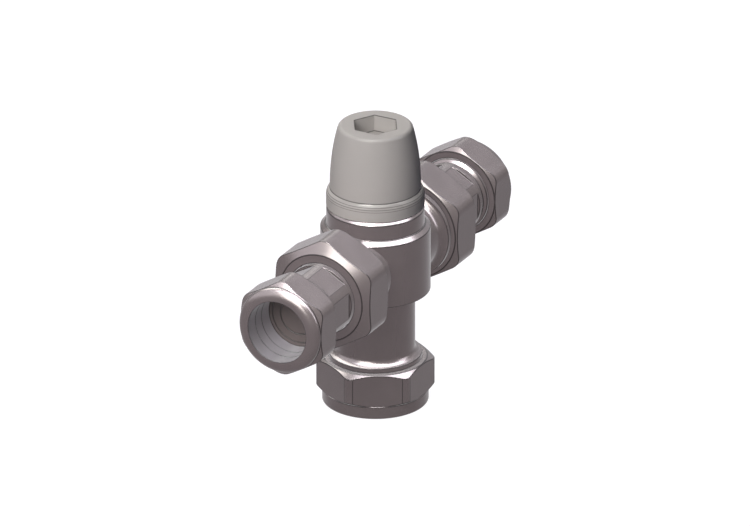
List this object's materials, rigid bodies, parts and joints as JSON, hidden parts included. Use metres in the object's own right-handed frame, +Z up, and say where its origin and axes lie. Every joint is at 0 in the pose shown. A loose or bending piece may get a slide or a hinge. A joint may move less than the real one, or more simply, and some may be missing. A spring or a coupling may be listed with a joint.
{
  "type": "thermostatic mixing valve",
  "caption": "Tee-shaped mixing valve with two union inlets with compression ends, a lower outlet nut and a grey adjusting cap.",
  "frame": {"origin": "centre of the outlet nut's lower face, on the vertical axis", "axes": "+Z up along the outlet, cartridge and cap; +X along the inlets towards the cold inlet; -Y is the front"},
  "size_m": [0.1436, 0.0374, 0.1016],
  "materials": {
    "plated_brass": "satin",
    "brass": "satin",
    "cap_plastic": "satin",
    "valve_plastic": "satin",
    "element_copper": "satin",
    "fibre": "matte",
    "rubber": "matte",
    "stainless_steel": "satin"
  },
  "bodies": {
    "valve": {"valve_body": "plated_brass", "bonnet": "brass", "bonnet_seal": "rubber", "cartridge_sleeve": "valve_plastic", "lower_sleeve_ring": "rubber", "middle_sleeve_ring": "rubber", "upper_sleeve_ring": "rubber", "spring_seat": "valve_plastic", "return_spring": "stainless_steel", "outlet_olive": "brass", "hot_strainer": "stainless_steel", "hot_union_washer": "fibre", "hot_inlet_tail": "plated_brass", "hot_check_housing": "brass", "hot_check_seal": "rubber", "hot_check_guide": "valve_plastic", "hot_check_spring": "stainless_steel", "hot_olive": "brass", "cold_strainer": "stainless_steel", "cold_union_washer": "fibre", "cold_inlet_tail": "plated_brass", "cold_check_housing": "brass", "cold_check_seal": "rubber", "cold_check_guide": "valve_plastic", "cold_check_spring": "stainless_steel", "cold_olive": "brass"},
    "cap": {"cap": "cap_plastic"},
    "spindle": {"adjusting_spindle": "brass", "spindle_clip": "stainless_steel", "lower_spindle_ring": "rubber", "upper_spindle_ring": "rubber"},
    "pusher": {"pusher": "brass", "button_ring": "stainless_steel", "overload_button": "brass", "overload_spring": "stainless_steel", "element_pin": "stainless_steel"},
    "shuttle": {"shuttle": "valve_plastic", "shuttle_seal": "rubber", "wax_element": "element_copper"},
    "hot_poppet": {"hot_check_poppet": "valve_plastic"},
    "cold_poppet": {"cold_check_poppet": "valve_plastic"},
    "hot_union_nut": {"hot_union_nut": "plated_brass"},
    "cold_union_nut": {"cold_union_nut": "plated_brass"},
    "hot_compression_nut": {"hot_compression_nut": "plated_brass"},
    "cold_compression_nut": {"cold_compression_nut": "plated_brass"},
    "outlet_nut": {"outlet_nut": "plated_brass"}
  },
  "joints": [
    {"name": "cap_lift", "type": "slide", "parent": "valve", "child": "cap", "axis": [0, 0, 1], "range_m": [0, 0.03]},
    {"name": "spindle_turn", "type": "hinge", "parent": "valve", "child": "spindle", "pos_m": [0, 0, 0.08], "axis": [0, 0, 1], "range_deg": [-180, 180]},
    {"name": "pusher_travel", "type": "slide", "parent": "valve", "child": "pusher", "axis": [0, 0, 1], "range_m": [-0.0005, 0.0005]},
    {"name": "shuttle_travel", "type": "slide", "parent": "pusher", "child": "shuttle", "axis": [0, 0, 1], "range_m": [-0.0004, 0.0004], "stiffness_N_per_m": 3000, "deforming": ["return_spring"]},
    {"name": "hot_check_lift", "type": "slide", "parent": "valve", "child": "hot_poppet", "axis": [1, 0, 0], "range_m": [0, 0.003], "stiffness_N_per_m": 60, "springref_m": -0.002, "deforming": ["hot_check_spring"]},
    {"name": "hot_union_turn", "type": "hinge", "parent": "valve", "child": "hot_union_nut", "pos_m": [-0.032, 0, 0.05295], "axis": [-1, 0, 0], "range_deg": [0, 950]},
    {"name": "hot_compression_turn", "type": "hinge", "parent": "valve", "child": "hot_compression_nut", "pos_m": [-0.065, 0, 0.05295], "axis": [-1, 0, 0], "range_deg": [0, 1310]},
    {"name": "cold_check_lift", "type": "slide", "parent": "valve", "child": "cold_poppet", "axis": [-1, 0, 0], "range_m": [0, 0.003], "stiffness_N_per_m": 60, "springref_m": -0.002, "deforming": ["cold_check_spring"]},
    {"name": "cold_union_turn", "type": "hinge", "parent": "valve", "child": "cold_union_nut", "pos_m": [0.032, 0, 0.05295], "axis": [1, 0, 0], "range_deg": [0, 950]},
    {"name": "cold_compression_turn", "type": "hinge", "parent": "valve", "child": "cold_compression_nut", "pos_m": [0.065, 0, 0.05295], "axis": [1, 0, 0], "range_deg": [0, 1310]},
    {"name": "outlet_turn", "type": "hinge", "parent": "valve", "child": "outlet_nut", "pos_m": [0, 0, 0.008], "axis": [0, 0, -1], "range_deg": [0, 1560]}
  ],
  "couplings": [
    {"joint": "spindle_turn", "follows": "pusher_travel", "rad_per_m": 6283.2}
  ]
}
